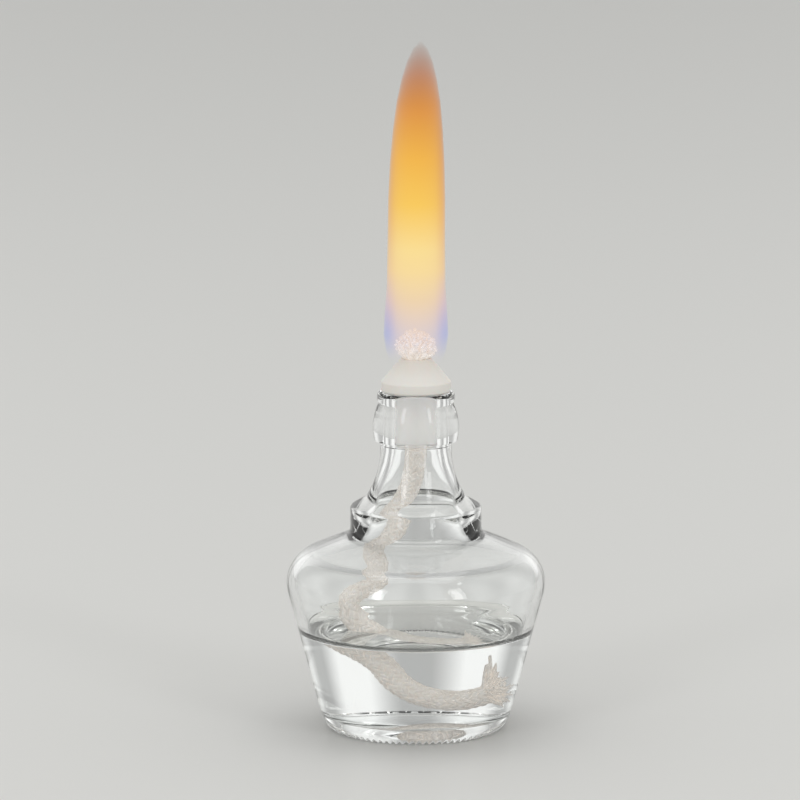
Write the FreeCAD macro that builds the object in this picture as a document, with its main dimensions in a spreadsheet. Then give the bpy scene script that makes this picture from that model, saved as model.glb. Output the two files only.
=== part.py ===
import FreeCAD, Part

# Oil lamp: a moulded glass bottle, the lamp oil in it, a drop-in porcelain wick holder and a
# braided wick. Millimetres, +Z up, origin on the bottle's axis in the plane it stands on.

import math
import os

import Sketcher
from FreeCAD import Rotation, Vector

document = FreeCAD.newDocument("oil_lamp")

# ------------------------------------------------------------------ driving dimensions
# Heights are above the plane that the lamp stands on, radii are from its axis.
DIMENSIONS = {
    # foot and base of the bottle
    "foot_outer_radius": 27.4,
    "foot_inner_radius": 24.8,
    "foot_edge_round": 0.5,
    "base_dome_height": 5.8,
    "stipple_count": 84,
    "stipple_width": 1.3,
    "stipple_depth": 0.85,
    "stipple_inset": 2.2,
    # outside of the body; the side and the shoulder meet in a corner that is then rounded
    "heel_radius": 30.0,
    "heel_height": 4.3,
    "heel_bow": 7.0,
    "corner_radius": 42.95,
    "corner_height": 52.8,
    "corner_round": 11.5,
    "shoulder_slope": 0.42,
    # stepped collar on the shoulder
    "collar_radius": 20.6,
    "collar_height": 70.6,
    "collar_foot_round": 2.6,
    "collar_top_round": 1.6,
    # neck
    "neck_foot_radius": 15.8,
    "neck_foot_height": 73.4,
    "neck_radius": 11.3,
    "neck_bow": 27.0,
    # barrel and lip
    "barrel_foot_height": 91.4,
    "barrel_foot_radius": 13.0,
    "barrel_bow": 19.0,
    "barrel_edge_round": 0.45,
    "groove_radius": 11.7,
    "groove_height": 103.4,
    "groove_round": 0.35,
    "lip_radius": 12.15,
    "lip_step_height": 104.1,
    "lip_round": 1.3,
    "mouth_height": 107.0,
    # inside of the bottle
    "wall": 2.8,
    "floor_height": 4.6,
    "floor_round": 4.2,
    "dome_radius": 21.7,
    "dome_height": 9.5,
    "dome_foot_round": 6.0,
    "bore_radius": 6.7,
    "bore_end_height": 86.0,
    "bore_end_round": 30.0,
    "throat_radius": 17.5,
    "throat_round": 6.0,
    "mouth_round": 0.8,
    # lamp oil
    "oil_level": 31.0,
    "oil_gap": 0.35,
    # wick holder
    "stem_gap": 0.28,
    "stem_length": 15.4,
    "stem_edge": 0.6,
    "cap_radius": 11.0,
    "cap_band": 3.2,
    "cap_lower_edge": 0.7,
    "cap_rim_width": 1.35,
    "cap_height": 10.5,
    "cap_round": 0.5,
    "cap_shoulder_round": 0.6,
    # wick
    "wick_diameter": 6.5,
    "wick_gap": 0.3,
    "tuft_neck_radius": 4.5,
    "tuft_neck_rise": 0.8,
    "tuft_radius": 6.3,
    "tuft_wide_rise": 5.0,
    "tuft_height": 9.0,
    "fray_radius": 6.2,
    "fray_length": 7.0,
}

sheet = document.addObject("Spreadsheet::Sheet", "Sizes")
for row, (alias, number) in enumerate(DIMENSIONS.items(), start=1):
    sheet.set(f"A{row}", alias)
    sheet.set(f"B{row}", str(number))
    sheet.setAlias(f"B{row}", alias)
document.recompute()


def value_of(expression):
    """The number that an expression on the sheet's cells comes to."""
    return float(sheet.evalExpression(expression))


# ------------------------------------------------------------------ turned sub-parts
class Corner:
    """A corner of a turned outline: its radius and height, and the bow of the edge after it.

    bow is the radius of an arc to the next corner, positive where the arc swells to the left of
    the way from one corner to the next; with no bow the edge is straight.
    """

    def __init__(self, radius, height, bow=None, side=1):
        self.radius = radius
        self.height = height
        self.bow = bow
        self.side = side

    def point(self):
        return Vector(value_of(self.radius), value_of(self.height), 0)


def origin_plane(body, role):
    return next(f for f in body.Origin.OriginFeatures if f.Role == role)


def bowed_edge(start, end, bow, side):
    """An arc of radius bow from start to end, and whether it runs clockwise."""
    chord = end - start
    left = Vector(-chord.y, chord.x, 0).normalize()
    depth = math.sqrt(bow**2 - (chord.Length / 2) ** 2)
    centre = (start + end) / 2 - left * side * depth
    clockwise = side > 0
    first, last = (end, start) if clockwise else (start, end)
    angles = [math.atan2(p.y - centre.y, p.x - centre.x) for p in (first, last)]
    if angles[1] < angles[0]:
        angles[1] += 2 * math.pi
    return Part.ArcOfCircle(Part.Circle(centre, Vector(0, 0, 1), bow), *angles), clockwise


def place_point(sketch, edge, end, corner):
    """Tie one end of an edge to its corner's radius and height on the sheet."""
    where = corner.point()
    for kind, number, expression, axis in (
        ("DistanceX", where.x, corner.radius, -2),
        ("DistanceY", where.y, corner.height, -1),
    ):
        if expression == "0":
            sketch.addConstraint(Sketcher.Constraint("PointOnObject", edge, end, axis))
            continue
        index = sketch.addConstraint(Sketcher.Constraint(kind, -1, 1, edge, end, number))
        sketch.setExpression(f"Constraints[{index}]", expression)


def turned_body(name, corners):
    """A body turned about Z from a closed outline of corners."""
    body = document.addObject("PartDesign::Body", name)
    body.Label = name
    sketch = body.newObject("Sketcher::SketchObject", name + "_outline")
    sketch.AttachmentSupport = (origin_plane(body, "XZ_Plane"), [""])
    sketch.MapMode = "FlatFace"
    starts, ends = [], []
    for corner, following in zip(corners, corners[1:] + corners[:1]):
        start, end = corner.point(), following.point()
        clockwise = False
        if corner.bow is None:
            edge = sketch.addGeometry(Part.LineSegment(start, end))
        else:
            arc, clockwise = bowed_edge(start, end, value_of(corner.bow), corner.side)
            edge = sketch.addGeometry(arc)
            index = sketch.addConstraint(Sketcher.Constraint("Radius", edge, value_of(corner.bow)))
            sketch.setExpression(f"Constraints[{index}]", corner.bow)
        starts.append((edge, 2 if clockwise else 1))
        ends.append((edge, 1 if clockwise else 2))
    for corner, start, before in zip(corners, starts, ends[-1:] + ends[:-1]):
        sketch.addConstraint(Sketcher.Constraint("Coincident", *start, *before))
        place_point(sketch, *start, corner)
    turning = body.newObject("PartDesign::Revolution", name + "_turning")
    turning.Profile = sketch
    turning.ReferenceAxis = (sketch, ["V_Axis"])
    turning.Angle = 360
    body.Tip = turning
    document.recompute()
    return body


def round_corners(body, label, corners, radius):
    """Round the circular edges that run through the given corners of a turned outline."""
    base = body.Tip
    edges = []
    for corner in corners:
        where = corner.point()
        for number, edge in enumerate(base.Shape.Edges, start=1):
            if edge.Degenerated or not isinstance(edge.Curve, Part.Circle):
                continue
            circle = edge.Curve
            miss = max(abs(circle.Radius - where.x), abs(circle.Center.z - where.y))
            if miss < 1e-3:
                edges.append(f"Edge{number}")
                break
        else:
            raise ValueError(f"{body.Label}: no edge at the corner for {label}")
    rounding = body.newObject("PartDesign::Fillet", f"{body.Name}_{label}")
    rounding.Base = (base, edges)
    rounding.setExpression("Radius", radius)
    body.Tip = rounding
    document.recompute()


# ------------------------------------------------------------------ bottle
# One moulded piece. The inside of the body runs one wall in from the side and the shoulder.
side_lean = (
    "((Sizes.corner_radius - Sizes.heel_radius) / (Sizes.corner_height - Sizes.heel_height))"
)
shoulder_lean = "Sizes.shoulder_slope"
side_stretch = f"sqrt(1 + {side_lean} ^ 2)"
shoulder_stretch = f"sqrt(1 + {shoulder_lean} ^ 2)"


def shoulder_height_at(radius, inset="0"):
    """Height of the shoulder at a radius, with an inset measured square to its surface."""
    return (
        f"Sizes.corner_height + ({shoulder_lean}) * (Sizes.corner_radius - ({radius}))"
        f" - ({inset}) * {shoulder_stretch}"
    )


def side_radius_at(height, inset="0"):
    """Radius of the side at a height, with an inset measured square to its surface."""
    return (
        f"Sizes.heel_radius + {side_lean} * (({height}) - Sizes.heel_height)"
        f" - ({inset}) * {side_stretch}"
    )


def inner_corner(inset):
    """The corner of side and shoulder, moved in from both surfaces by the inset."""
    drop = (
        f"(({inset}) * ({shoulder_stretch} - {shoulder_lean} * {side_stretch})"
        f" / (1 + {side_lean} * {shoulder_lean}))"
    )
    return Corner(
        f"Sizes.corner_radius - {side_lean} * {drop} - ({inset}) * {side_stretch}",
        f"Sizes.corner_height - {drop}",
    )


base_bow = "((Sizes.foot_inner_radius ^ 2 + Sizes.base_dome_height ^ 2) / (2 * Sizes.base_dome_height))"
dome_rise = "(Sizes.dome_height - Sizes.floor_height)"
dome_bow = f"((Sizes.dome_radius ^ 2 + {dome_rise} ^ 2) / (2 * {dome_rise}))"

base_middle = Corner("0", "Sizes.base_dome_height", base_bow)
foot_inner = Corner("Sizes.foot_inner_radius", "0")
foot_outer = Corner("Sizes.foot_outer_radius", "0", "Sizes.heel_bow", -1)
heel = Corner("Sizes.heel_radius", "Sizes.heel_height")
belly_corner = Corner("Sizes.corner_radius", "Sizes.corner_height")
collar_foot = Corner("Sizes.collar_radius", shoulder_height_at("Sizes.collar_radius"))
collar_top = Corner("Sizes.collar_radius", "Sizes.collar_height")
neck_foot = Corner("Sizes.neck_foot_radius", "Sizes.neck_foot_height", "Sizes.neck_bow", 1)
neck_top = Corner("Sizes.neck_radius", "Sizes.barrel_foot_height")
barrel_foot = Corner("Sizes.barrel_foot_radius", "Sizes.barrel_foot_height", "Sizes.barrel_bow", -1)
groove = Corner("Sizes.groove_radius", "Sizes.groove_height")
lip_step = Corner("Sizes.lip_radius", "Sizes.lip_step_height")
lip_top = Corner("Sizes.lip_radius", "Sizes.mouth_height")
mouth = Corner("Sizes.bore_radius", "Sizes.mouth_height")
bore_end = Corner("Sizes.bore_radius", "Sizes.bore_end_height")
throat = Corner("Sizes.throat_radius", shoulder_height_at("Sizes.throat_radius", "Sizes.wall"))
belly_inner = inner_corner("Sizes.wall")
floor_edge = Corner(side_radius_at("Sizes.floor_height", "Sizes.wall"), "Sizes.floor_height")
dome_foot = Corner("Sizes.dome_radius", "Sizes.floor_height", dome_bow, -1)
dome_middle = Corner("0", "Sizes.dome_height")

bottle_blank = turned_body(
    "bottle_blank",
    [
        base_middle, foot_inner, foot_outer, heel, belly_corner, collar_foot, collar_top,
        neck_foot, neck_top, barrel_foot, groove, lip_step, lip_top, mouth, bore_end, throat,
        belly_inner, floor_edge, dome_foot, dome_middle,
    ],
)
for label, corners, radius in (
    ("belly_round", [belly_corner], "Sizes.corner_round"),
    ("belly_inner_round", [belly_inner], "Sizes.corner_round - Sizes.wall"),
    ("collar_foot_round", [collar_foot], "Sizes.collar_foot_round"),
    ("collar_top_round", [collar_top], "Sizes.collar_top_round"),
    ("barrel_edge_round", [barrel_foot], "Sizes.barrel_edge_round"),
    ("groove_round", [groove], "Sizes.groove_round"),
    ("lip_round", [lip_top], "Sizes.lip_round"),
    ("mouth_round", [mouth], "Sizes.mouth_round"),
    ("bore_end_round", [bore_end], "Sizes.bore_end_round"),
    ("throat_round", [throat], "Sizes.throat_round"),
    ("floor_round", [floor_edge], "Sizes.floor_round"),
    ("dome_foot_round", [dome_foot], "Sizes.dome_foot_round"),
    ("foot_edge_round", [foot_outer], "Sizes.foot_edge_round"),
):
    round_corners(bottle_blank, label, corners, radius)

# The foot ring is stippled: radial notches all round keep the hot glass off a cold surface.
def stipple_notch():
    """A V-shaped prism that lies under the foot ring along +X."""
    half_width, depth = value_of("Sizes.stipple_width / 2"), value_of("Sizes.stipple_depth")
    inner_end = value_of("Sizes.foot_inner_radius - Sizes.stipple_inset")
    outer_end = value_of("Sizes.heel_radius")
    corners = [
        Vector(inner_end, -half_width, 0),
        Vector(inner_end, half_width, 0),
        Vector(inner_end, 0, depth),
        Vector(inner_end, -half_width, 0),
    ]
    return Part.Face(Part.makePolygon(corners)).extrude(Vector(outer_end - inner_end, 0, 0))


stipple_count = int(value_of("Sizes.stipple_count"))
notches = document.addObject("Part::Feature", "stipple_notches")
notches.Shape = Part.makeCompound(
    [
        stipple_notch().rotate(Vector(0, 0, 0), Vector(0, 0, 1), 360 * number / stipple_count)
        for number in range(stipple_count)
    ]
)
bottle = document.addObject("Part::Cut", "bottle")
bottle.Base = bottle_blank
bottle.Tool = notches
bottle.Label = "bottle"
document.recompute()
notch_volume = (bottle_blank.Shape.Volume - bottle.Shape.Volume) / stipple_count
print(f"each of the {stipple_count} stipple notches cuts {notch_volume:.2f} mm3")

# ------------------------------------------------------------------ wick holder
# One porcelain piece: a stem that drops into the neck and a conical cap that rests on the lip.
stem_radius = "(Sizes.bore_radius - Sizes.stem_gap)"
stem_end = "(Sizes.mouth_height - Sizes.stem_length)"
wick_bore = "(Sizes.wick_diameter / 2 + Sizes.wick_gap)"
cap_top = "(Sizes.mouth_height + Sizes.cap_height)"
stem_inner_end = Corner(wick_bore, stem_end)
stem_outer_end = Corner(stem_radius, stem_end)
cap_seat = Corner(stem_radius, "Sizes.mouth_height")
cap_edge = Corner("Sizes.cap_radius", "Sizes.mouth_height")
cap_shoulder = Corner("Sizes.cap_radius", "Sizes.mouth_height + Sizes.cap_band")
cap_rim = Corner(f"{wick_bore} + Sizes.cap_rim_width", cap_top)
cap_bore = Corner(wick_bore, cap_top)
wick_holder = turned_body(
    "wick_holder",
    [stem_inner_end, stem_outer_end, cap_seat, cap_edge, cap_shoulder, cap_rim, cap_bore],
)
for label, corners, radius in (
    ("stem_edge", [stem_inner_end, stem_outer_end], "Sizes.stem_edge"),
    ("cap_lower_edge", [cap_edge], "Sizes.cap_lower_edge"),
    ("cap_shoulder_round", [cap_shoulder], "Sizes.cap_shoulder_round"),
    ("cap_round", [cap_rim, cap_bore], "Sizes.cap_round"),
):
    round_corners(wick_holder, label, corners, radius)

# ------------------------------------------------------------------ wick, upper stretch
# The braid in the holder's bore, opened out above the cap into the tuft that burns.
wick_radius = "(Sizes.wick_diameter / 2)"
tuft_base = f"({cap_top} + Sizes.wick_gap)"
crown_rise = "(Sizes.tuft_height - Sizes.tuft_wide_rise)"
crown_bow = f"((Sizes.tuft_radius ^ 2 + {crown_rise} ^ 2) / (2 * {crown_rise}))"
wick_upper = turned_body(
    "wick_upper",
    [
        Corner("0", stem_end),
        Corner(wick_radius, stem_end),
        Corner(wick_radius, tuft_base),
        Corner("Sizes.tuft_neck_radius", f"{cap_top} + Sizes.tuft_neck_rise"),
        Corner("Sizes.tuft_radius", f"{cap_top} + Sizes.tuft_wide_rise", crown_bow, -1),
        Corner("0", f"{cap_top} + Sizes.tuft_height"),
    ],
)

# ------------------------------------------------------------------ wick, free tail
# The tail hangs from the stem through the neck, swings to one side into the oil and comes back
# over the bottle's dome. It is a limp cord, so its route is a list of points.
ARC_SHARE = 0.45
WICK_ROUTE = [
    Vector(0, 0, value_of(stem_end)),
    Vector(0, 0, 82.3),
    Vector(-3.4, 1.2, 71.8),
    Vector(-9.4, 3.6, 60.6),
    Vector(-16.2, 6.6, 49.4),
    Vector(-20.6, 9.4, 37.2),
    Vector(-18.0, 11.0, 25.6),
    Vector(-9.6, 10.6, 17.4),
    Vector(0.6, 8.0, 13.8),
    Vector(9.4, 4.8, 13.1),
    Vector(16.4, 0.6, 15.0),
]


def unit(vector):
    return Vector(vector).normalize()


def cord_path(points):
    """Straight runs joined by tangent arcs, each as large as its two runs allow."""
    edges, radii = [], []
    last = points[0]
    for before, corner, after in zip(points, points[1:], points[2:]):
        way_in, way_out = corner - before, after - corner
        half_turn = way_in.getAngle(way_out) / 2
        reach = ARC_SHARE * min(way_in.Length, way_out.Length)
        radius = reach / math.tan(half_turn)
        inward = unit(unit(way_out) - unit(way_in))
        arc_start = corner - unit(way_in) * reach
        arc_end = corner + unit(way_out) * reach
        arc_middle = corner + inward * radius * (1 / math.cos(half_turn) - 1)
        edges.append(Part.LineSegment(last, arc_start).toShape())
        edges.append(Part.Arc(arc_start, arc_middle, arc_end).toShape())
        radii.append(radius)
        last = arc_end
    edges.append(Part.LineSegment(last, points[-1]).toShape())
    return Part.Wire(edges), radii


def swept_cord(name, path, radius):
    """A round cord along the path, its radius an expression on the sheet."""
    section = document.addObject("Part::Circle", name + "_section")
    section.setExpression("Radius", radius)
    first_way = WICK_ROUTE[1] - WICK_ROUTE[0]
    section.Placement = FreeCAD.Placement(WICK_ROUTE[0], Rotation(Vector(0, 0, 1), first_way))
    cord = document.addObject("Part::Sweep", name)
    cord.Sections = [section]
    cord.Spine = (path, [f"Edge{number + 1}" for number in range(len(path.Shape.Edges))])
    cord.Solid = True
    cord.Label = name
    return cord


def frayed_cone(name, margin):
    """The loose yarns at the wick's end as one cone, with a margin all round."""
    way = unit(WICK_ROUTE[-1] - WICK_ROUTE[-2])
    cone = document.addObject("Part::Cone", name)
    cone.Label = name
    cone.setExpression("Radius1", f"{wick_radius} + {margin}")
    cone.setExpression("Radius2", f"Sizes.fray_radius + {margin}")
    cone.setExpression("Height", f"Sizes.fray_length + 2 * {margin}")
    start = WICK_ROUTE[-1] - way * value_of(margin)
    cone.Placement = FreeCAD.Placement(start, Rotation(Vector(0, 0, 1), way))
    return cone


path_wire, path_radii = cord_path(WICK_ROUTE)
wick_path = document.addObject("Part::Feature", "wick_path")
wick_path.Shape = path_wire
wick_tail = swept_cord("wick_tail", wick_path, wick_radius)
wick_frayed_end = frayed_cone("wick_frayed_end", "0")

# ------------------------------------------------------------------ lamp oil
# The oil fills the body up to its level, just clear of the glass and of the wick in it.
oil_dome_foot = Corner("Sizes.dome_radius", "Sizes.floor_height + Sizes.oil_gap", dome_bow, -1)
oil_inset = "(Sizes.wall + Sizes.oil_gap)"
oil_floor = "(Sizes.floor_height + Sizes.oil_gap)"
oil_floor_edge = Corner(side_radius_at(oil_floor, oil_inset), oil_floor)
oil_body = turned_body(
    "oil_body",
    [
        Corner("0", "Sizes.dome_height + Sizes.oil_gap"),
        Corner("0", "Sizes.oil_level"),
        Corner(side_radius_at("Sizes.oil_level", oil_inset), "Sizes.oil_level"),
        oil_floor_edge,
        oil_dome_foot,
    ],
)
round_corners(oil_body, "floor_round", [oil_floor_edge], "Sizes.floor_round - Sizes.oil_gap")
round_corners(oil_body, "dome_foot_round", [oil_dome_foot], "Sizes.dome_foot_round + Sizes.oil_gap")

wick_channel = document.addObject("Part::Fuse", "wick_channel")
wick_channel.Base = swept_cord("tail_channel", wick_path, f"{wick_radius} + Sizes.wick_gap")
wick_channel.Tool = frayed_cone("fray_channel", "2 * Sizes.wick_gap")
lamp_oil = document.addObject("Part::Cut", "lamp_oil")
lamp_oil.Base = oil_body
lamp_oil.Tool = wick_channel
lamp_oil.Label = "lamp_oil"

# ------------------------------------------------------------------ check and write
document.recompute()
for thing in document.Objects:
    if "Invalid" in thing.State or "Error" in thing.State:
        raise RuntimeError(f"{thing.Name} failed to build: {thing.State}")

wick_length = sum(edge.Length for edge in path_wire.Edges)
tail_share = wick_tail.Shape.Volume / (math.pi * value_of(wick_radius) ** 2 * wick_length)
print(f"wick tail {wick_length:.1f} mm long, volume {tail_share:.4f} of section times length")
print("wick bend radii", ", ".join(f"{radius:.1f}" for radius in path_radii))

os.makedirs("parts", exist_ok=True)
for piece in (bottle, lamp_oil, wick_holder, wick_upper, wick_tail, wick_frayed_end):
    shape = piece.Shape
    if shape.isNull() or not shape.isValid():
        raise RuntimeError(f"{piece.Label} has no valid shape")
    print(f"{piece.Label}: {len(shape.Solids)} solid, {shape.Volume / 1000:.2f} cm3")
    shape.exportStep(f"parts/{piece.Label}.step")
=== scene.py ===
import math
import random

import bpy
import numpy as np
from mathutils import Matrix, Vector


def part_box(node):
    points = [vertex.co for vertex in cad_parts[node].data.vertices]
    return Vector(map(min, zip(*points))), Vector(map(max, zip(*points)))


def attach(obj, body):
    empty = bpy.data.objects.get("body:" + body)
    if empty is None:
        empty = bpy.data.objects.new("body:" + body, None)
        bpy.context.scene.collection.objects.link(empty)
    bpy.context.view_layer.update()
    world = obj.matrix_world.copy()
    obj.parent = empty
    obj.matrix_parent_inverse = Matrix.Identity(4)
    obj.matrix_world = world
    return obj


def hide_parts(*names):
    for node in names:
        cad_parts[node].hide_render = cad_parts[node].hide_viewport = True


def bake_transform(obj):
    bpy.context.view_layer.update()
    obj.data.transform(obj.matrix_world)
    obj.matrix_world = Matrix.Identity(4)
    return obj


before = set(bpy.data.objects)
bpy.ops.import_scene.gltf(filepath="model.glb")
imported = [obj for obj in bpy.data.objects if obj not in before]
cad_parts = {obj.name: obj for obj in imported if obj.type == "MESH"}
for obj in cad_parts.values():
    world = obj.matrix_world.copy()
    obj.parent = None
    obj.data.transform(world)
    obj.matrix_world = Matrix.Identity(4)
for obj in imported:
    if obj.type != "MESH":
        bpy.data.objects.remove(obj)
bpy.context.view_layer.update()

MM = 0.001
scene = bpy.context.scene

# ---------------------------------------------------------------- camera
# A long lens a little above the lamp, framed so that the flame and the foot both fit.
# Distances are in metres.
VIEW_ELEVATION = math.radians(9.5)
VIEW_DISTANCE = 1.4
VIEW_WIDTH = 0.2507
AIM = Vector((-5.0, 0.0, 104.2)) * MM

camera_data = bpy.data.cameras.new("camera")
camera_data.lens = camera_data.sensor_width * VIEW_DISTANCE / VIEW_WIDTH
camera = bpy.data.objects.new("camera", camera_data)
scene.collection.objects.link(camera)
camera.location = AIM + VIEW_DISTANCE * Vector(
    (0, -math.cos(VIEW_ELEVATION), math.sin(VIEW_ELEVATION))
)
camera.rotation_euler = (math.pi / 2 - VIEW_ELEVATION, 0, 0)
scene.camera = camera

# ---------------------------------------------------------------- bottle
# One piece of soda-lime glass, pressed and blown in a two-part mould: a stippled foot ring,
# a pushed-up base, a tapered body with thick corners, a stepped collar, and a barrel finish
# under the lip. The inside is blown, so it waves a little more than the moulded outside.
WALL = 2.8
OIL_LEVEL = 31.0
OIL_CLIMB = 2.0
STIPPLES = 84
STIPPLE_DEPTH = 0.85
STIPPLE_WIDTH = 1.3
FACETS_PER_STIPPLE = 6
SEAM_HEIGHT = 0.06
SEAM_WIDTH = 0.8
SIDE = ((30.0, 4.3), (42.95, 52.8))
SIDE_LEAN = (SIDE[1][0] - SIDE[0][0]) / (SIDE[1][1] - SIDE[0][1])
SHOULDER_SLOPE = 0.42


def side_radius(height, inset=0.0):
    """Radius of the body's side at a height, moved in square to its surface."""
    return SIDE[0][0] + SIDE_LEAN * (height - SIDE[0][1]) - inset * math.hypot(1, SIDE_LEAN)


def shoulder_height(radius, inset=0.0):
    """Height of the shoulder at a radius, moved in square to its surface."""
    drop = SHOULDER_SLOPE * (radius - SIDE[1][0]) + inset * math.hypot(1, SHOULDER_SLOPE)
    return SIDE[1][1] - drop


def inner_corner(inset):
    """Where the side and the shoulder meet, both moved in by the same distance."""
    lean, slope = math.hypot(1, SIDE_LEAN), math.hypot(1, SHOULDER_SLOPE)
    drop = inset * (slope - SHOULDER_SLOPE * lean) / (1 + SIDE_LEAN * SHOULDER_SLOPE)
    return side_radius(SIDE[1][1] - drop, inset), SIDE[1][1] - drop


def dome_bow(radius, rise):
    """Radius of a dome that is that wide and that high."""
    return (radius**2 + rise**2) / (2 * rise)


def bowed(start, end, bow, step):
    """Points from start to end along an arc of radius bow, to the left where bow is positive."""
    start, end = np.array(start, float), np.array(end, float)
    chord = end - start
    length = np.hypot(*chord)
    count = max(2, math.ceil(length / step))
    if bow is None:
        return start + np.outer(np.linspace(0, 1, count + 1), chord)
    left = np.array((-chord[1], chord[0])) / length * math.copysign(1, bow)
    centre = (start + end) / 2 - left * math.sqrt(bow**2 - (length / 2) ** 2)
    first, last = start - centre, end - centre
    turn = math.atan2(first[0] * last[1] - first[1] * last[0], first @ last)
    angles = np.linspace(0, turn, count + 1)
    across = np.array((-first[1], first[0]))
    return centre + np.outer(np.cos(angles), first) + np.outer(np.sin(angles), across)


def outline(corners, step=1.6, turn_step=math.radians(9)):
    """A smooth outline in mm; a corner is (radius, height, rounding, bow of the edge after it)."""
    edges = [bowed(a[:2], b[:2], a[3], step) for a, b in zip(corners, corners[1:])]
    points = [edges[0][0]]
    for number, corner in enumerate(corners[1:-1], start=1):
        before, after = edges[number - 1], edges[number]
        rounding = corner[2]
        way_in, way_out = before[-1] - before[-2], after[1] - after[0]
        way_in, way_out = way_in / np.hypot(*way_in), way_out / np.hypot(*way_out)
        turn = math.acos(np.clip(way_in @ way_out, -1, 1))
        reach = rounding * math.tan(turn / 2)
        place = before[-1]
        points += [p for p in before[1:-1] if np.hypot(*(p - place)) > reach + step / 3]
        if reach > 0.01:
            weight, count = math.cos(turn / 2), max(3, math.ceil(turn / turn_step))
            for t in np.linspace(0, 1, count + 1):
                a, b, c = (1 - t) ** 2, 2 * weight * t * (1 - t), t**2
                blend = a * (place - way_in * reach) + b * place + c * (place + way_out * reach)
                points.append(blend / (a + b + c))
        else:
            points.append(place)
        edges[number] = np.array(
            [after[0]] + [p for p in after[1:] if np.hypot(*(p - place)) > reach + step / 3]
        )
    points += list(edges[-1][1:])
    return np.array(points)


def turned_mesh(name, points, segments, shape=None, kinds=None):
    """A mesh turned about Z from an outline in mm that starts and ends on the axis."""
    angles = np.arange(segments) * 2 * math.pi / segments
    rings = points[1:-1]
    radius = np.repeat(rings[:, :1], segments, axis=1)
    height = np.repeat(rings[:, 1:], segments, axis=1)
    if shape:
        radius, height = shape(radius, height, angles[None, :])
    around = np.stack((radius * np.cos(angles), radius * np.sin(angles), height), axis=-1)
    ends = [(0, 0, points[0][1]), (0, 0, points[-1][1])]
    verts = np.concatenate((around.reshape(-1, 3), ends)) * MM
    first, last = len(verts) - 2, len(verts) - 1
    faces, marks = [], []
    kinds = kinds or [0] * (len(points) - 1)
    top = (len(rings) - 1) * segments
    for column in range(segments):
        following = (column + 1) % segments
        faces.append((first, following, column))
        marks.append(kinds[0])
        for ring in range(len(rings) - 1):
            low, high = ring * segments, (ring + 1) * segments
            faces.append((low + column, low + following, high + following, high + column))
            marks.append(kinds[ring + 1])
        faces.append((top + column, top + following, last))
        marks.append(kinds[-1])
    mesh = bpy.data.meshes.new(name)
    mesh.from_pydata(verts.tolist(), [], faces)
    mesh.polygons.foreach_set("material_index", marks)
    mesh.shade_smooth()
    mesh.update()
    return mesh


def placed(name, mesh, *materials):
    """An object for a mesh, with its materials, in the scene."""
    thing = bpy.data.objects.new(name, mesh)
    scene.collection.objects.link(thing)
    for finish in materials:
        mesh.materials.append(finish)
    return thing


def colour(code):
    """An sRGB hex code such as C8A070 as a linear colour."""
    parts = [int(code[n : n + 2], 16) / 255 for n in (0, 2, 4)]
    return (*(p / 12.92 if p <= 0.04045 else ((p + 0.055) / 1.055) ** 2.4 for p in parts), 1.0)


def material(name):
    """An empty material, its tree and its output."""
    made = bpy.data.materials.new(name)
    made.use_nodes = True
    made.node_tree.nodes.clear()
    return made, made.node_tree, made.node_tree.nodes.new("ShaderNodeOutputMaterial")


def node(tree, kind, inputs=(), **settings):
    """A node of that kind; inputs gives each socket a value or another node's output."""
    made = tree.nodes.new(kind)
    for name, value in settings.items():
        setattr(made, name, value)
    for name, value in dict(inputs).items():
        if isinstance(value, bpy.types.NodeSocket):
            tree.links.new(value, made.inputs[name])
        else:
            made.inputs[name].default_value = value
    return made


def moulded_glass(name, ior):
    """Soda-lime glass from a mould: fire-bright, with a long faint ripple that bends highlights."""
    finish, tree, output = material(name)
    where = node(tree, "ShaderNodeTexCoord")
    ripple = node(
        tree,
        "ShaderNodeTexNoise",
        {"Vector": where.outputs["Object"], "Scale": 1 / (14 * MM), "Detail": 1.5},
    )
    bump = node(
        tree,
        "ShaderNodeBump",
        {"Height": ripple.outputs["Fac"], "Strength": 0.12, "Distance": 0.4 * MM},
    )
    shader = node(
        tree,
        "ShaderNodeBsdfPrincipled",
        {
            "Base Color": colour("FDFEFE"),
            "Roughness": 0.0,
            "IOR": ior,
            "Transmission Weight": 1.0,
            "Normal": bump.outputs["Normal"],
        },
    )
    tree.links.new(shader.outputs["BSDF"], output.inputs["Surface"])
    return finish


def waved_glass(radius, height, angles):
    """Stipples under the foot ring, two mould seams, and the slight waves of hot glass."""
    pitch = 2 * math.pi / STIPPLES
    across = np.abs((angles / pitch) % 1 - 0.5) * 2 * math.pi * radius / STIPPLES
    notch = STIPPLE_DEPTH * np.clip(1 - across / (STIPPLE_WIDTH / 2), 0, 1)
    cut = (height < STIPPLE_DEPTH) & (radius > 22)
    height = np.where(cut, np.maximum(height, notch), height)
    inside = np.zeros_like(radius, bool)
    inside[mouth_index:] = True
    wave = 0.5 * np.sin(2 * angles + 0.08 * height + 1.0)
    wave = wave + 0.3 * np.sin(5 * angles - 0.21 * height)
    wave = wave + 0.2 * np.sin(3 * angles + 0.33 * height + 2.0)
    fade = np.clip((radius - 7.5) / 8, 0, 1) * np.clip((height - 4) / 6, 0, 1)
    radius = radius + wave * fade * np.where(inside, 0.16, 0.05)
    to_seam = np.abs((angles + math.pi / 2) % math.pi - math.pi / 2) * radius
    seam = SEAM_HEIGHT * np.clip(1 - to_seam / (SEAM_WIDTH / 2), 0, 1)
    return radius + np.where(inside | (height < 4.5), 0, seam), height


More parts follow.
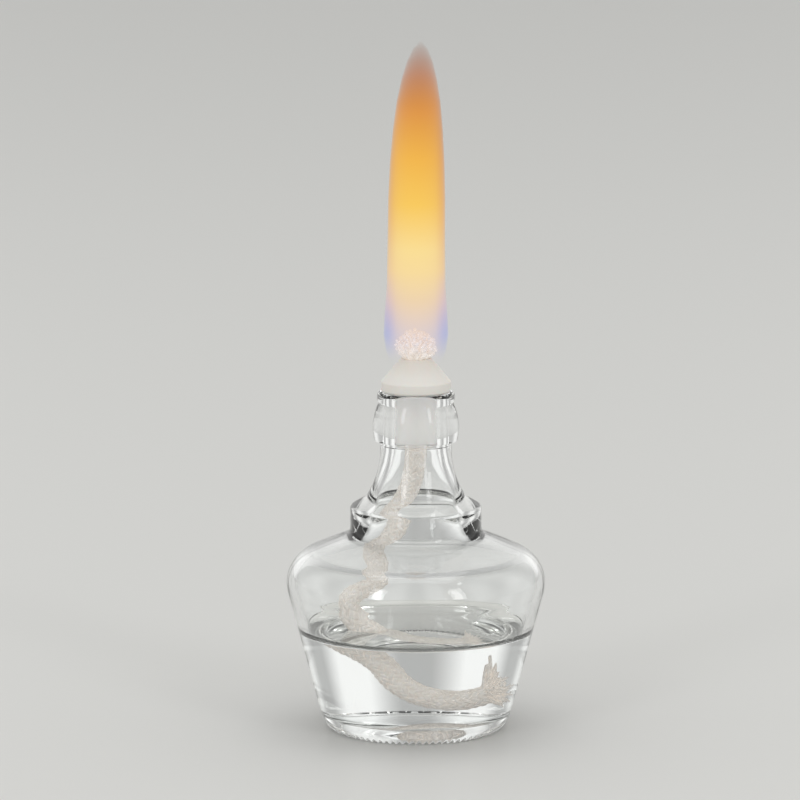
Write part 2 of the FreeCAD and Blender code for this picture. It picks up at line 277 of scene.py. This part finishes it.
collar_foot = (20.6, shoulder_height(20.6), 2.6, None)
inside_corners = [
    (6.7, 107.0, 0.8, None),
    (6.7, 86.0, 30.0, None),
    (17.5, shoulder_height(17.5, WALL), 6.0, None),
    (*inner_corner(WALL), 8.7, None),
    (side_radius(OIL_LEVEL + OIL_CLIMB, WALL), OIL_LEVEL + OIL_CLIMB, 0.0, None),
    (side_radius(4.6, WALL), 4.6, 4.2, None),
    (21.7, 4.6, 6.0, -dome_bow(21.7, 4.9)),
    (0.0, 9.5, 0.0, None),
]
outside_corners = [
    (0.0, 5.8, 0.0, dome_bow(24.8, 5.8)),
    (24.8, 0.0, 0.0, None),
    (27.4, 0.0, 0.5, -7.0),
    (*SIDE[0], 0.0, None),
    (*SIDE[1], 11.5, None),
    collar_foot,
    (20.6, 70.6, 1.6, None),
    (15.8, 73.4, 0.0, 27.0),
    (11.3, 91.4, 0.0, None),
    (13.0, 91.4, 0.45, -19.0),
    (11.7, 103.4, 0.35, None),
    (12.15, 104.1, 0.0, None),
    (12.15, 107.0, 1.3, None),
]
glass_outline = outline(outside_corners + inside_corners)
mouth_index = int(np.argmax(glass_outline[:, 1] * 100 - glass_outline[:, 0]))
wet_start = min(
    n for n in range(mouth_index, len(glass_outline))
    if glass_outline[n][1] <= OIL_LEVEL + OIL_CLIMB + 1e-6
)
glass_kinds = [1 if n >= wet_start else 0 for n in range(len(glass_outline) - 1)]

GLASS_IOR = 1.52
OIL_IOR = 1.44
clear_glass = moulded_glass("clear_soda_lime_glass", GLASS_IOR)
wet_glass = moulded_glass("glass_wetted_by_oil", GLASS_IOR / OIL_IOR)
bottle = placed(
    "glass_bottle",
    turned_mesh(
        "glass_bottle",
        glass_outline,
        STIPPLES * FACETS_PER_STIPPLE,
        waved_glass,
        glass_kinds,
    ),
    clear_glass,
    wet_glass,
)
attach(bottle, "bottle")
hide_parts("bottle")

# ---------------------------------------------------------------- lamp oil
# Clear paraffin oil, about 69 ml. Its surface climbs the glass in a meniscus. Its sides touch
# the glass all over, where the wetted glass already bends the light, so they are see-through.
MENISCUS_REACH = 1.5


def still_oil():
    """Clear paraffin oil seen through its own surface: mirror-smooth, bends light like oil."""
    finish, tree, output = material("clear_paraffin_oil")
    shader = node(
        tree,
        "ShaderNodeBsdfPrincipled",
        {
            "Base Color": colour("FDFCF6"),
            "Roughness": 0.0,
            "IOR": OIL_IOR,
            "Transmission Weight": 1.0,
        },
    )
    tree.links.new(shader.outputs["BSDF"], output.inputs["Surface"])
    return finish


def oil_on_glass():
    """The oil's sides, which lie on the wetted glass and add nothing to it."""
    finish, tree, output = material("oil_against_glass")
    clear = node(tree, "ShaderNodeBsdfTransparent")
    tree.links.new(clear.outputs["BSDF"], output.inputs["Surface"])
    return finish


rim = side_radius(OIL_LEVEL + OIL_CLIMB, WALL) + 0.1
surface = [
    (r, OIL_LEVEL + OIL_CLIMB * math.exp(-(rim - r) / MENISCUS_REACH))
    for r in (0.0, 10.0, 20.0, 28.0, 31.0, *np.linspace(rim - 4.5, rim, 16))
]
OIL_OFF_GLASS = 0.02
oil_side = glass_outline[wet_start + 1 : -1] + (-OIL_OFF_GLASS, OIL_OFF_GLASS)
oil_points = np.array([*surface, *oil_side, (0.0, glass_outline[-1][1] + OIL_OFF_GLASS)])
oil_kinds = [0 if n < len(surface) - 1 else 1 for n in range(len(oil_points) - 1)]
oil_mesh = turned_mesh("lamp_oil_fill", oil_points, 180, None, oil_kinds)
oil_mesh.flip_normals()
oil = placed("lamp_oil_fill", oil_mesh, still_oil(), oil_on_glass())
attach(oil, "bottle")
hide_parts("lamp_oil")

# ---------------------------------------------------------------- wick holder
# One piece of white porcelain, slip-cast, fired, left unglazed and rubbed smooth, so it is
# satin rather than glossy. The flame has warmed its rim to a faint cream.
CAP_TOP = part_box("wick_holder")[1].z


def bisque_porcelain():
    """Unglazed porcelain: white, satin and close-grained, with a soft edge to its shadows, and a
    painted glow on the stem below the cap.
    """
    finish, tree, output = material("bisque_porcelain")
    where = node(tree, "ShaderNodeTexCoord")
    height = node(tree, "ShaderNodeSeparateXYZ", {"Vector": where.outputs["Object"]})
    near_rim = node(
        tree,
        "ShaderNodeMapRange",
        {
            "Value": height.outputs["Z"],
            "From Min": CAP_TOP - 5 * MM,
            "From Max": CAP_TOP,
            "To Min": 0.0,
            "To Max": 0.7,
        },
    )
    # Painted glow: the stem just below the cap gives off a little light of its own, for the flame's
    # light that thin porcelain passes down its stem.
    painted_stem_glow = node(
        tree,
        "ShaderNodeMapRange",
        {
            "Value": height.outputs["Z"],
            "From Min": CAP_TOP - 12.5 * MM,
            "From Max": CAP_TOP - 10.0 * MM,
            "To Min": 0.24,
            "To Max": 0.0,
        },
    )
    cloud = node(
        tree,
        "ShaderNodeTexNoise",
        {"Vector": where.outputs["Object"], "Scale": 1 / (5 * MM), "Detail": 4.0},
    )
    warmth = node(
        tree,
        "ShaderNodeMath",
        {0: near_rim.outputs["Result"], 1: cloud.outputs["Fac"]},
        operation="MULTIPLY",
    )
    tone = node(
        tree,
        "ShaderNodeMix",
        {"Factor": warmth.outputs["Value"], "A": colour("E6E3DD"), "B": colour("DCD0BA")},
        data_type="RGBA",
    )
    grain = node(
        tree,
        "ShaderNodeTexNoise",
        {"Vector": where.outputs["Object"], "Scale": 1 / (0.35 * MM), "Detail": 3.0},
    )
    bump = node(
        tree,
        "ShaderNodeBump",
        {"Height": grain.outputs["Fac"], "Strength": 0.18, "Distance": 0.05 * MM},
    )
    shader = node(
        tree,
        "ShaderNodeBsdfPrincipled",
        {
            "Base Color": tone.outputs["Result"],
            "Roughness": 0.46,
            "IOR": 1.5,
            "Subsurface Weight": 0.12,
            "Subsurface Scale": 1.2 * MM,
            # Painted glow, near white, on the stem below the cap.
            "Emission Color": colour("FBFAFC"),
            "Emission Strength": painted_stem_glow.outputs["Result"],
            "Normal": bump.outputs["Normal"],
        },
    )
    tree.links.new(shader.outputs["BSDF"], output.inputs["Surface"])
    return finish


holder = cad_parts["wick_holder"]
holder.data.materials.clear()
holder.data.materials.append(bisque_porcelain())

# ---------------------------------------------------------------- wick, free tail
# A quarter-inch round wick, braided from twenty-four soft cotton yarns. It leaves the stem, swings
# to the left into the oil and comes back over the bottle's dome.
WICK_DIAMETER = 6.5 * MM
WICK_ROUTE = [
    (0, 0, 91.6),
    (0, 0, 82.3),
    (-3.4, 1.0, 71.8),
    (-9.6, 2.0, 61.0),
    (-14.5, 3.0, 54.5),
    (-11.0, 5.0, 48.6),
    (-14.5, 3.5, 45.0),
    (-22.0, 0.5, 40.5),
    (-20.5, 0.5, 33.5),
    (-12.2, 1.0, 29.6),
    (-7.0, 1.0, 25.0),
    (-4.6, 1.0, 19.6),
    (-0.4, 1.0, 15.2),
    (5.5, 1.0, 12.9),
    (11.5, 0.5, 12.4),
    (16.8, 0.0, 14.4),
]
YARNS_EACH_WAY = 12
YARN_WIDTH = 1.22 * MM
YARN_THICKNESS = 0.85 * MM
BRAID_ANGLE = math.radians(38)
YARN_LAY = 1.5 * MM
WEAVE_DEPTH = 0.33 * MM
dice = random.Random(7)


def route_line(points):
    """The smooth line through a route, as points in metres."""
    curve = bpy.data.curves.new("route", "CURVE")
    curve.dimensions = "3D"
    spline = curve.splines.new("NURBS")
    spline.points.add(len(points) - 1)
    for place, point in zip(spline.points, points):
        place.co = (*(c * MM for c in point), 1.0)
    spline.order_u = 3
    spline.use_endpoint_u = True
    spline.resolution_u = 16
    helper = bpy.data.objects.new("route", curve)
    scene.collection.objects.link(helper)
    bpy.context.view_layer.update()
    mesh = bpy.data.meshes.new_from_object(helper)
    line = np.array([v.co for v in mesh.vertices], float)
    bpy.data.objects.remove(helper)
    return line


def evenly(line, step):
    """The line's points spaced evenly, about a step apart."""
    lengths = np.concatenate(([0], np.cumsum(np.linalg.norm(np.diff(line, axis=0), axis=1))))
    at = np.linspace(0, lengths[-1], max(2, round(lengths[-1] / step) + 1))
    return np.stack([np.interp(at, lengths, line[:, n]) for n in range(3)], axis=1), at


def unit(vectors):
    """The same directions with a length of one."""
    return vectors / np.linalg.norm(vectors, axis=-1, keepdims=True)


def frames(line):
    """Directions along a line, and two across it that don't twist."""
    along = unit(np.gradient(line, axis=0))
    side = np.zeros_like(line)
    start = np.cross(along[0], (0.31, 0.95, 0.11))
    side[0] = start / np.linalg.norm(start)
    for n in range(1, len(line)):
        carried = side[n - 1] - along[n] * (side[n - 1] @ along[n])
        side[n] = carried / np.linalg.norm(carried)
    return along, side, np.cross(along, side)


def yarn_mesh(name, yarns, sides=8):
    """One mesh of many yarns; a yarn is its line, outward directions, width and thickness."""
    verts, faces, maps = [], [], []
    turn = np.arange(sides) * 2 * math.pi / sides
    for line, outward, width, thickness in yarns:
        count = len(line)
        along = unit(np.gradient(line, axis=0))
        outward = unit(outward - along * np.sum(outward * along, axis=1, keepdims=True))
        across = np.cross(along, outward)
        taper = np.broadcast_to(np.asarray(width, float), count)[:, None, None] / 2
        depth = np.broadcast_to(np.asarray(thickness, float), count)[:, None, None] / 2
        ring = line[:, None] + taper * across[:, None] * np.cos(turn)[None, :, None]
        ring = ring + depth * outward[:, None] * np.sin(turn)[None, :, None]
        base = sum(len(v) for v in verts)
        verts.append(np.concatenate((ring.reshape(-1, 3), line[:1], line[-1:])))
        travel = np.concatenate(([0], np.cumsum(np.linalg.norm(np.diff(line, axis=0), axis=1))))
        for n in range(count - 1):
            for s in range(sides):
                t = (s + 1) % sides
                low, high = base + n * sides, base + (n + 1) * sides
                faces.append((low + s, low + t, high + t, high + s))
                u = (s / sides, (s + 1) / sides)
                maps += [(travel[n], u[0]), (travel[n], u[1])]
                maps += [(travel[n + 1], u[1]), (travel[n + 1], u[0])]
        first, last = base + count * sides, base + count * sides + 1
        for s in range(sides):
            t = (s + 1) % sides
            faces.append((first, base + t, base + s))
            high = base + (count - 1) * sides
            faces.append((last, high + s, high + t))
            maps += [(0.0, 0.0)] * 3 + [(travel[-1], 0.0)] * 3
    mesh = bpy.data.meshes.new(name)
    mesh.from_pydata(np.concatenate(verts).tolist(), [], faces)
    layer = mesh.uv_layers.new(name="yarn")
    layer.data.foreach_set("uv", np.array(maps, float).ravel())
    mesh.shade_smooth()
    mesh.update()
    return mesh


def braid(line, radius, step=0.42 * MM):
    """The twenty-four yarns of a two-over-two tubular braid round a line."""
    line, at = evenly(line, step)
    _, side, other = frames(line)
    middle = radius - YARN_THICKNESS / 2 - 0.12 * MM
    twist = math.tan(BRAID_ANGLE) / middle
    yarns = []
    for way in (1, -1):
        for number in range(YARNS_EACH_WAY):
            angle = 2 * math.pi * number / YARNS_EACH_WAY + way * twist * at
            wander = 0.05 * np.sin(at / (7.3 * MM) + number * 1.7)
            angle = angle + wander
            phase = number * math.pi - way * math.pi / 4
            over = way * np.cos(YARNS_EACH_WAY / 2 * twist * at + phase)
            outward = side * np.cos(angle)[:, None] + other * np.sin(angle)[:, None]
            slack = 0.07 * MM * np.sin(at / (3.1 * MM) + number * 2.3 + way)
            yarn = line + outward * (middle + WEAVE_DEPTH * over + slack)[:, None]
            yarns.append((yarn, outward, YARN_WIDTH, YARN_THICKNESS))
    return yarns


def fuzz(line, radius, count, longest):
    """Loose cotton hairs that stand off a braid."""
    line, _ = evenly(line, 0.5 * MM)
    along, side, other = frames(line)
    hairs = []
    for _hair in range(count):
        n = dice.randrange(2, len(line) - 2)
        angle = dice.uniform(0, 2 * math.pi)
        outward = side[n] * math.cos(angle) + other[n] * math.sin(angle)
        lean = unit(along[n] * dice.uniform(-1.4, 1.4) + outward)
        length = dice.uniform(0.35, 1.0) * longest
        root = line[n] + outward * (radius - 0.35 * MM)
        curl = np.array([dice.uniform(-1, 1) for _ in range(3)]) * length * 0.35
        steps = np.linspace(0, 1, 5)[:, None]
        hair = root + lean * steps * length + curl * steps**2
        width = np.linspace(0.085, 0.03, 5) * MM
        hairs.append((hair, np.tile(outward + 0.01, (5, 1)), width, width))
    return hairs


def braided_cotton(name, light, dark, sheen=0.25, painted_glow=0.0):
    """Bleached cotton yarn: matt and soft, with two plies twisted round each other, and a painted
    glow of its own.
    """
    finish, tree, output = material(name)
    map_uv = node(tree, "ShaderNodeUVMap", uv_map="yarn")
    split = node(tree, "ShaderNodeSeparateXYZ", {"Vector": map_uv.outputs["UV"]})
    # The ridge between two plies runs along the yarn and goes once round it in each lay.
    lay = node(
        tree, "ShaderNodeMath", {0: split.outputs["X"], 1: 1 / YARN_LAY}, operation="MULTIPLY"
    )
    both = node(
        tree, "ShaderNodeMath", {0: split.outputs["Y"], 1: lay.outputs["Value"]}, operation="ADD"
    )
    wave = node(
        tree, "ShaderNodeMath", {0: both.outputs["Value"], 1: 2 * math.pi}, operation="MULTIPLY"
    )
    ply = node(tree, "ShaderNodeMath", {0: wave.outputs["Value"]}, operation="SINE")
    where = node(tree, "ShaderNodeTexCoord")
    fibre = node(
        tree,
        "ShaderNodeTexNoise",
        {"Vector": where.outputs["Object"], "Scale": 1 / (0.28 * MM), "Detail": 4.0},
    )
    relief = node(
        tree,
        "ShaderNodeMath",
        {0: ply.outputs["Value"], 1: 0.35, 2: fibre.outputs["Fac"]},
        operation="MULTIPLY_ADD",
    )
    bump = node(
        tree,
        "ShaderNodeBump",
        {"Height": relief.outputs["Value"], "Strength": 0.7, "Distance": 0.16 * MM},
    )
    patches = node(
        tree,
        "ShaderNodeTexNoise",
        {"Vector": where.outputs["Object"], "Scale": 1 / (2.2 * MM), "Detail": 5.0},
    )
    share = node(
        tree,
        "ShaderNodeMapRange",
        {"Value": patches.outputs["Fac"], "From Min": 0.35, "From Max": 0.7},
    )
    tone = node(
        tree,
        "ShaderNodeMix",
        {"Factor": share.outputs["Result"], "A": colour(light), "B": colour(dark)},
        data_type="RGBA",
    )
    shader = node(
        tree,
        "ShaderNodeBsdfPrincipled",
        {
            "Base Color": tone.outputs["Result"],
            "Roughness": 0.9,
            "Sheen Weight": sheen,
            "Sheen Roughness": 0.5,
            "Emission Color": colour("FFF7F0"),
            "Emission Strength": painted_glow,
            "Normal": bump.outputs["Normal"],
        },
    )
    tree.links.new(shader.outputs["BSDF"], output.inputs["Surface"])
    return finish


# Painted glow: the soaked cotton gives off a little light of its own, to make up for what thick glass
# keeps from it.
wet_cotton = braided_cotton("braided_cotton_soaked", "F9F5F0", "ECE5DC", sheen=0.1, painted_glow=0.17)
tail_line = route_line(WICK_ROUTE)
tail_in_stem = np.array([(0, 0, z * MM) for z in np.arange(98.0, 91.7, -0.6)])
tail_path = np.concatenate((tail_in_stem, tail_line))
tail_yarns = braid(tail_path, WICK_DIAMETER / 2)
tail_hairs = fuzz(tail_line, WICK_DIAMETER / 2, 900, 1.3 * MM)
tail = placed("wick_tail_braid", yarn_mesh("wick_tail_braid", tail_yarns), wet_cotton)
hairs = placed("wick_tail_fuzz", yarn_mesh("wick_tail_fuzz", tail_hairs, sides=3), wet_cotton)

# ---------------------------------------------------------------- wick, frayed lower end
# The cut end was never bound, so the yarns have come apart into loose curly threads.
FRAY_THREADS = 170
end_point, end_way = tail_line[-1], unit(tail_line[-1] - tail_line[-8])
end_side = unit(np.cross(end_way, (0.0, 0.0, 1.0)))
end_up = np.cross(end_side, end_way)


def frayed_thread():
    """A thread that leaves the braid's end, and fans up or down as it untwists."""
    angle = dice.uniform(0, 2 * math.pi)
    reach = math.sqrt(dice.random()) * WICK_DIAMETER * 0.42
    root = end_point + (end_side * math.cos(angle) + end_up * math.sin(angle)) * reach
    root = root - end_way * 1.6 * MM
    length = dice.uniform(2.6, 6.0) * MM
    fan = dice.choice((1, -1)) * dice.uniform(0.0, 1.9)
    if dice.random() < 0.09:
        length, fan = dice.uniform(8.0, 10.5) * MM, dice.uniform(1.8, 3.0)
    aim = unit(end_way * 0.8 + end_up * fan + end_side * dice.uniform(-0.8, 0.8))
    steps = np.linspace(0, 1, 12)[:, None]
    line = root + end_way * steps * 1.6 * MM + aim * steps**1.25 * length
    phase, swing = dice.uniform(0, 6), dice.uniform(0.3, 1.1) * MM
    winding = steps * dice.uniform(3, 8) + phase
    line = line + (end_side * np.sin(winding) + end_up * np.cos(winding)) * swing * steps
    line[:, 2] = np.maximum(line[:, 2], 7.2 * MM)
    width = np.linspace(dice.uniform(0.8, 1.1), 0.45, 12) * MM
    return line, np.tile(end_side + 0.02, (12, 1)), width, width


fray_threads = [frayed_thread() for _ in range(FRAY_THREADS)]
fray = placed("wick_frayed_threads", yarn_mesh("wick_frayed_threads", fray_threads, 6), wet_cotton)

for piece, solids in ((tail, ["wick_tail"]), (hairs, []), (fray, ["wick_frayed_end"])):
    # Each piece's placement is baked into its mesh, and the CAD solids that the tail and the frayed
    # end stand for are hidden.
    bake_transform(piece)
    if solids:
        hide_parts(*solids)

# ---------------------------------------------------------------- wick, burning end
# Above the cap the cotton braid is teased out into a round tuft of cut yarns. Oil rises to it
# through the braid, and the heat keeps it dry; a painted glow of its own keeps it bright.
TUFT_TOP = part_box("wick_upper")[1].z
TUFT_THREADS = 135
TUFT_CENTRE = np.array((0.0, 0.0, CAP_TOP + 3.6 * MM))
# Painted glow: the dry cotton gives off a little light of its own.
dry_cotton = braided_cotton("braided_cotton_dry", "FDFAF5", "E8DDCF", painted_glow=0.16)


def tuft_thread(number):
    """A short cut thread that leaves the bore and bends outwards to the tuft's surface."""
    spread = math.acos(1 - 1.42 * (number + 0.5) / TUFT_THREADS)
    angle = number * math.pi * (3 - math.sqrt(5)) + dice.uniform(-0.1, 0.1)
    flat = np.array((math.cos(angle), math.sin(angle), 0.0))
    root_radius = 2.7 * MM * min(1.0, spread / 1.2)
    root = flat * root_radius + (0, 0, CAP_TOP - 1.5 * MM)
    reach = dice.uniform(0.9, 1.06)
    rise = TUFT_TOP - TUFT_CENTRE[2]
    tip = TUFT_CENTRE + flat * math.sin(spread) * 6.2 * MM * reach
    tip[2] += math.cos(spread) * rise * reach
    tip[2] = max(tip[2], CAP_TOP + 1.1 * MM)
    bend = flat * root_radius * 1.15 + (0, 0, CAP_TOP + 1.0 * MM + 1.6 * MM * math.cos(spread))
    steps = np.linspace(0, 1, 12)[:, None]
    line = root * (1 - steps) ** 2 + 2 * bend * steps * (1 - steps) + tip * steps**2
    swing = np.array([dice.uniform(-1, 1) for _ in range(3)]) * 0.45 * MM
    line = line + swing * np.sin(steps * dice.uniform(4, 8)) * steps
    width = np.linspace(1.0, dice.uniform(0.75, 1.4), 12) * MM
    return line, np.tile(np.cross(flat, (0, 0, 1.0)) + 0.02, (12, 1)), width, width


upper_line = np.array([(0, 0, z * MM) for z in np.arange(93.0, 118.3, 0.6)])
upper_yarns = braid(upper_line, WICK_DIAMETER / 2)
tuft_threads = [tuft_thread(n) for n in range(TUFT_THREADS)]
upper = placed("wick_upper_braid", yarn_mesh("wick_upper_braid", upper_yarns), dry_cotton)
tuft = placed("wick_tuft", yarn_mesh("wick_tuft", tuft_threads, 6), dry_cotton)
for piece in (upper, tuft):
    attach(piece, "wick")
    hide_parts("wick_upper")

# ---------------------------------------------------------------- flame
# Burning vapour, not a piece of the lamp: a thin glowing gas that is blue
# where it burns clean at its foot, cream in the middle and orange where soot glows above.
FLAME_OUTLINE = [
    (0.0, 115.4), (7.0, 115.0), (8.4, 116.8), (9.5, 120.0), (10.2, 125.0), (9.9, 131.0),
    (9.2, 140.0), (9.0, 155.0), (8.9, 168.0), (8.5, 179.0), (7.8, 189.0), (6.8, 198.0),
    (5.5, 205.0), (4.0, 210.5), (2.3, 214.4), (0.0, 217.0),
]
FLAME_FOOT, FLAME_TIP = 115.0 * MM, 217.0 * MM
FLAME_EDGE = 9.6 * MM


def glowing_gas():
    """Glowing soot and gas: light given off in the whole volume, which also veils what's behind."""
    finish, tree, output = material("glowing_gas")
    finish.cycles.volume_step_rate = 0.12
    where = node(tree, "ShaderNodeTexCoord")
    place = node(tree, "ShaderNodeSeparateXYZ", {"Vector": where.outputs["Object"]})
    rise = node(
        tree,
        "ShaderNodeMapRange",
        {"Value": place.outputs["Z"], "From Min": FLAME_FOOT, "From Max": FLAME_TIP},
    )
    core_stops = [
        (0.0, "F6E4E0"), (0.08, "FBE0C8"), (0.20, "F7DCA8"), (0.36, "FFE79A"),
        (0.50, "FFD35E"), (0.64, "F8BC48"), (0.78, "E2963A"), (0.90, "BC6E30"), (1.0, "8A5230"),
    ]
    rim_stops = [
        (0.0, "4F74EE"), (0.10, "7E92EE"), (0.20, "D6B4C8"), (0.30, "EFC08C"),
        (0.45, "E8A050"), (0.65, "CF7E34"), (0.85, "A45C2C"), (1.0, "7C4A30"),
    ]
    ramps = []
    for stops in (core_stops, rim_stops):
        ramps.append(node(tree, "ShaderNodeValToRGB", {"Fac": rise.outputs["Result"]}))
        ramp = ramps[-1].color_ramp
        while len(ramp.elements) < len(stops):
            ramp.elements.new(0.5)
        for element, (at, code) in zip(ramp.elements, stops):
            element.position = at
            element.color = colour(code)
    flat = node(tree, "ShaderNodeVectorMath", {0: where.outputs["Object"], 1: (1.0, 1.0, 0.0)},
                operation="MULTIPLY")
    out = node(tree, "ShaderNodeVectorMath", {0: flat.outputs["Vector"]}, operation="LENGTH")
    shell = node(
        tree,
        "ShaderNodeMapRange",
        {"Value": out.outputs["Value"], "From Min": 0.66 * FLAME_EDGE, "From Max": 1.02 * FLAME_EDGE},
    )
    tone = node(
        tree,
        "ShaderNodeMix",
        {
            "Factor": shell.outputs["Result"],
            "A": ramps[0].outputs["Color"],
            "B": ramps[1].outputs["Color"],
        },
        data_type="RGBA",
    )
    # Thin at the foot, where the tuft shows through it, and thick above.
    thick = node(
        tree,
        "ShaderNodeMapRange",
        {"Value": rise.outputs["Result"], "From Min": 0.02, "From Max": 0.29,
         "To Min": 4.0, "To Max": 190.0},
    )
    fading = node(
        tree,
        "ShaderNodeMapRange",
        {"Value": rise.outputs["Result"], "From Min": 0.80, "From Max": 1.0,
         "To Min": 1.0, "To Max": 0.35},
    )
    thickness = node(
        tree,
        "ShaderNodeMath",
        {0: thick.outputs["Result"], 1: fading.outputs["Result"]},
        operation="MULTIPLY",
    )
    light = node(
        tree,
        "ShaderNodeEmission",
        {"Color": tone.outputs["Result"], "Strength": thickness.outputs["Value"]},
    )
    veil = node(
        tree,
        "ShaderNodeVolumeAbsorption",
        {"Color": (0.0, 0.0, 0.0, 1.0), "Density": thickness.outputs["Value"]},
    )
    gas = node(
        tree, "ShaderNodeAddShader", {0: light.outputs["Emission"], 1: veil.outputs["Volume"]}
    )
    tree.links.new(gas.outputs["Shader"], output.inputs["Volume"])
    return finish


flame_mesh = turned_mesh("flame", np.array(FLAME_OUTLINE), 48)
for vertex in flame_mesh.vertices:
    # The tip leans a little to the right.
    vertex.co.x += 1.4 * MM * max(0.0, (vertex.co.z - FLAME_FOOT) / (FLAME_TIP - FLAME_FOOT)) ** 3
flame = placed("flame", flame_mesh, glowing_gas())
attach(flame, "wick")

# ---------------------------------------------------------------- floor and light
# A plain pale floor, and a room of tall soft lights with gaps between them, which clear glass
# needs in order to show its form.
floor_mesh = bpy.data.meshes.new("floor")
FLOOR_REACH = 6.0
floor_mesh.from_pydata(
    [(x * FLOOR_REACH, y * FLOOR_REACH, 0) for x, y in ((-1, -1), (1, -1), (1, 1), (-1, 1))],
    [],
    [(0, 1, 2, 3)],
)


def pale_floor():
    """Pale satin laminate: even and plain, with a faint blurred reflection of the foot."""
    finish, tree, output = material("pale_laminate")
    shader = node(
        tree,
        "ShaderNodeBsdfPrincipled",
        {"Base Color": colour("D8D8D6"), "Roughness": 0.42},
    )
    tree.links.new(shader.outputs["BSDF"], output.inputs["Surface"])
    return finish


floor = placed("floor", floor_mesh, pale_floor())

world = bpy.data.worlds.new("studio")
scene.world = world
world.use_nodes = True
sky = world.node_tree
sky.nodes.clear()
sky_output = node(sky, "ShaderNodeOutputWorld")
rays = node(sky, "ShaderNodeLightPath")
looking = node(sky, "ShaderNodeTexCoord")
towards = node(sky, "ShaderNodeSeparateXYZ", {"Vector": looking.outputs["Generated"]})
bearing = node(
    sky,
    "ShaderNodeMath",
    {0: towards.outputs["Y"], 1: towards.outputs["X"]},
    operation="ARCTAN2",
)
eight = node(sky, "ShaderNodeMath", {0: bearing.outputs["Value"], 1: 8.0}, operation="MULTIPLY")
panels = node(sky, "ShaderNodeMath", {0: eight.outputs["Value"]}, operation="COSINE")
panel_light = node(
    sky,
    "ShaderNodeMapRange",
    {"Value": panels.outputs["Value"], "From Min": -0.6, "From Max": 0.8, "To Min": 1.02,
     "To Max": 0.48},
)
up_fade = node(
    sky,
    "ShaderNodeMapRange",
    {"Value": towards.outputs["Z"], "From Min": 0.35, "From Max": 0.9, "To Min": 1.0,
     "To Max": 0.8},
)
around = node(
    sky,
    "ShaderNodeMath",
    {0: panel_light.outputs["Result"], 1: up_fade.outputs["Result"]},
    operation="MULTIPLY",
)
mirrored_or_bent = node(
    sky,
    "ShaderNodeMath",
    {0: rays.outputs["Is Glossy Ray"], 1: rays.outputs["Is Transmission Ray"]},
    operation="MAXIMUM",
)
glass_sees = node(
    sky,
    "ShaderNodeMix",
    {
        "Factor": mirrored_or_bent.outputs["Value"],
        "A": 0.78,
        "B": around.outputs["Value"],
    },
    data_type="FLOAT",
)
camera_sees = node(
    sky,
    "ShaderNodeMix",
    {"Factor": rays.outputs["Is Camera Ray"], "A": glass_sees.outputs["Result"], "B": 0.63},
    data_type="FLOAT",
)
studio = node(
    sky,
    "ShaderNodeBackground",
    {"Color": colour("FAFAF8"), "Strength": camera_sees.outputs["Result"]},
)
sky.links.new(studio.outputs["Background"], sky_output.inputs["Surface"])


def softbox(name, place, aim, size, watts):
    """A rectangular soft light that faces a point."""
    light = bpy.data.lights.new(name, "AREA")
    light.shape = "RECTANGLE"
    light.size, light.size_y = size
    light.energy = watts
    lamp = bpy.data.objects.new(name, light)
    scene.collection.objects.link(lamp)
    lamp.location = place
    lamp.visible_camera = False
    lamp.rotation_euler = (Vector(aim) - Vector(place)).to_track_quat("-Z", "Y").to_euler()


softbox("strip_left", (-1.9, -2.4, 1.6), (0, 0, 0.06), (0.6, 2.0), 13.0)
softbox("strip_right", (2.0, -2.3, 1.6), (0, 0, 0.06), (0.6, 2.0), 13.0)
softbox("top_bank", (0.0, 0.3, 2.2), (0, 0, 0.05), (1.6, 1.2), 8.0)

scene.view_settings.view_transform = "Standard"
scene.cycles.max_bounces = 20
scene.cycles.transmission_bounces = 20
scene.cycles.transparent_max_bounces = 20
